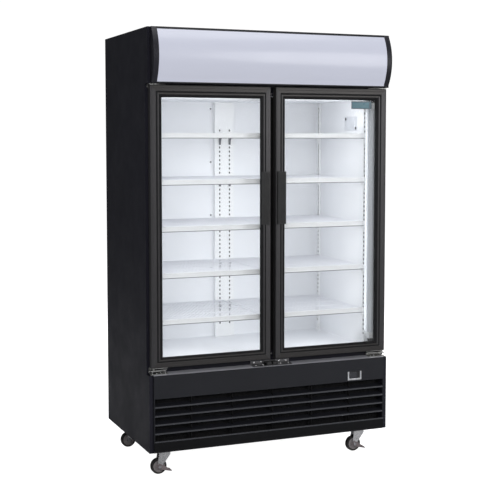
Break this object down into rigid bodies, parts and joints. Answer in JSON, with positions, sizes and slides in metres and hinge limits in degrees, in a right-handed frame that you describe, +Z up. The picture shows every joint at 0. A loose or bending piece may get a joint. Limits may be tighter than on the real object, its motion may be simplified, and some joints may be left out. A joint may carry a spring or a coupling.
{
  "type": "glass door merchandiser",
  "caption": "Upright refrigerated display cabinet with hinged glass doors, wire shelves, a lit curved canopy, a louvred base and swivel casters.",
  "frame": {"origin": "on the floor under the middle of the outside box, where the wheels stand at z = 0", "axes": "+X to the right as seen from the front, +Y to the back, +Z up; the doors face -Y"},
  "size_m": [1.2, 0.745, 2.015],
  "materials": {
    "black_sheet": "satin",
    "chassis_black": "satin",
    "fascia_black": "satin",
    "canopy_black": "satin",
    "cap_black": "satin",
    "door_aluminium": "satin",
    "mullion_black": "satin",
    "liner_white": "satin",
    "shelf_white": "satin",
    "strip_steel": "satin",
    "cover_white": "satin",
    "fin_aluminium": "satin",
    "fan_black": "matte",
    "light_diffuser": "satin",
    "sign_acrylic": "satin",
    "door_glass": "polished",
    "gasket_black": "matte",
    "grip_black": "matte",
    "hinge_zinc": "satin",
    "caster_zinc": "satin",
    "wheel_black": "matte",
    "pedal_grey": "satin",
    "display_black": "gloss",
    "compressor_black": "satin"
  },
  "bodies": {
    "cabinet": {"side_panel_left": "black_sheet", "side_panel_right": "black_sheet", "back_panel": "black_sheet", "top_panel": "black_sheet", "floor_panel": "black_sheet", "inner_liner": "liner_white", "centre_mullion": "mullion_black", "evaporator_cover": "cover_white", "evaporator_coil": "fin_aluminium", "rear_centre_pilaster": "strip_steel", "pilaster_front_left": "strip_steel", "pilaster_rear_left": "strip_steel", "led_strip_left": "light_diffuser", "shelf_left_1": "shelf_white", "shelf_left_2": "shelf_white", "shelf_left_3": "shelf_white", "shelf_left_4": "shelf_white", "shelf_left_5": "shelf_white", "pilaster_front_right": "strip_steel", "pilaster_rear_right": "strip_steel", "led_strip_right": "light_diffuser", "shelf_right_1": "shelf_white", "shelf_right_2": "shelf_white", "shelf_right_3": "shelf_white", "shelf_right_4": "shelf_white", "shelf_right_5": "shelf_white", "base_frame": "chassis_black", "louvre_grille": "fascia_black", "controller": "display_black", "condenser_coil": "fin_aluminium", "compressor": "compressor_black", "canopy_housing": "canopy_black", "canopy_light_panel": "sign_acrylic", "canopy_light_tube": "light_diffuser", "canopy_end_cap_left": "cap_black", "canopy_end_cap_right": "cap_black", "hinge_bottom_left": "hinge_zinc", "hinge_top_left": "hinge_zinc", "hinge_bottom_right": "hinge_zinc", "hinge_top_right": "hinge_zinc"},
    "evaporator_fan": {"evaporator_fan": "fan_black"},
    "condenser_fan": {"condenser_fan": "fan_black"},
    "door_left": {"door_frame_left": "door_aluminium", "door_glass_left": "door_glass", "door_gasket_left": "gasket_black", "door_handle_left": "grip_black"},
    "door_right": {"door_frame_right": "door_aluminium", "door_glass_right": "door_glass", "door_gasket_right": "gasket_black", "door_handle_right": "grip_black"},
    "fork_front_left": {"caster_fork_front_left": "caster_zinc"},
    "wheel_front_left": {"caster_wheel_front_left": "wheel_black"},
    "pedal_front_left": {"brake_pedal_front_left": "pedal_grey"},
    "fork_front_right": {"caster_fork_front_right": "caster_zinc"},
    "wheel_front_right": {"caster_wheel_front_right": "wheel_black"},
    "pedal_front_right": {"brake_pedal_front_right": "pedal_grey"},
    "fork_rear_left": {"caster_fork_rear_left": "caster_zinc"},
    "wheel_rear_left": {"caster_wheel_rear_left": "wheel_black"},
    "fork_rear_right": {"caster_fork_rear_right": "caster_zinc"},
    "wheel_rear_right": {"caster_wheel_rear_right": "wheel_black"}
  },
  "joints": [
    {"name": "door_left_hinge", "type": "hinge", "parent": "cabinet", "child": "door_left", "pos_m": [-0.576, -0.3035, 0.508], "axis": [0, 0, -1], "range_deg": [0, 105], "stiffness_Nm_per_rad": 1.5, "springref_deg": -17.19},
    {"name": "door_right_hinge", "type": "hinge", "parent": "cabinet", "child": "door_right", "pos_m": [0.576, -0.3035, 0.508], "axis": [0, 0, 1], "range_deg": [0, 105], "stiffness_Nm_per_rad": 1.5, "springref_deg": -17.19},
    {"name": "swivel_front_left", "type": "hinge", "parent": "cabinet", "child": "fork_front_left", "pos_m": [-0.5, -0.2175, 0.119], "axis": [0, 0, 1], "continuous": true},
    {"name": "roll_front_left", "type": "hinge", "parent": "fork_front_left", "child": "wheel_front_left", "pos_m": [-0.528, -0.2175, 0.03682], "axis": [0, 1, 0], "continuous": true},
    {"name": "brake_front_left", "type": "hinge", "parent": "fork_front_left", "child": "pedal_front_left", "pos_m": [-0.528, -0.2175, 0.03682], "axis": [0, -1, 0], "range_deg": [0, 20]},
    {"name": "swivel_front_right", "type": "hinge", "parent": "cabinet", "child": "fork_front_right", "pos_m": [0.5, -0.2175, 0.119], "axis": [0, 0, 1], "continuous": true},
    {"name": "roll_front_right", "type": "hinge", "parent": "fork_front_right", "child": "wheel_front_right", "pos_m": [0.472, -0.2175, 0.03682], "axis": [0, 1, 0], "continuous": true},
    {"name": "brake_front_right", "type": "hinge", "parent": "fork_front_right", "child": "pedal_front_right", "pos_m": [0.472, -0.2175, 0.03682], "axis": [0, -1, 0], "range_deg": [0, 20]},
    {"name": "swivel_rear_left", "type": "hinge", "parent": "cabinet", "child": "fork_rear_left", "pos_m": [-0.5, 0.2725, 0.119], "axis": [0, 0, 1], "continuous": true},
    {"name": "roll_rear_left", "type": "hinge", "parent": "fork_rear_left", "child": "wheel_rear_left", "pos_m": [-0.528, 0.2725, 0.03682], "axis": [0, 1, 0], "continuous": true},
    {"name": "swivel_rear_right", "type": "hinge", "parent": "cabinet", "child": "fork_rear_right", "pos_m": [0.5, 0.2725, 0.119], "axis": [0, 0, 1], "continuous": true},
    {"name": "roll_rear_right", "type": "hinge", "parent": "fork_rear_right", "child": "wheel_rear_right", "pos_m": [0.472, 0.2725, 0.03682], "axis": [0, 1, 0], "continuous": true},
    {"name": "evaporator_fan_spin", "type": "hinge", "parent": "cabinet", "child": "evaporator_fan", "pos_m": [0, -0.05, 1.74], "axis": [0, 0, 1], "continuous": true},
    {"name": "condenser_fan_spin", "type": "hinge", "parent": "cabinet", "child": "condenser_fan", "pos_m": [0.17, -0.1675, 0.29], "axis": [0, 1, 0], "continuous": true}
  ]
}
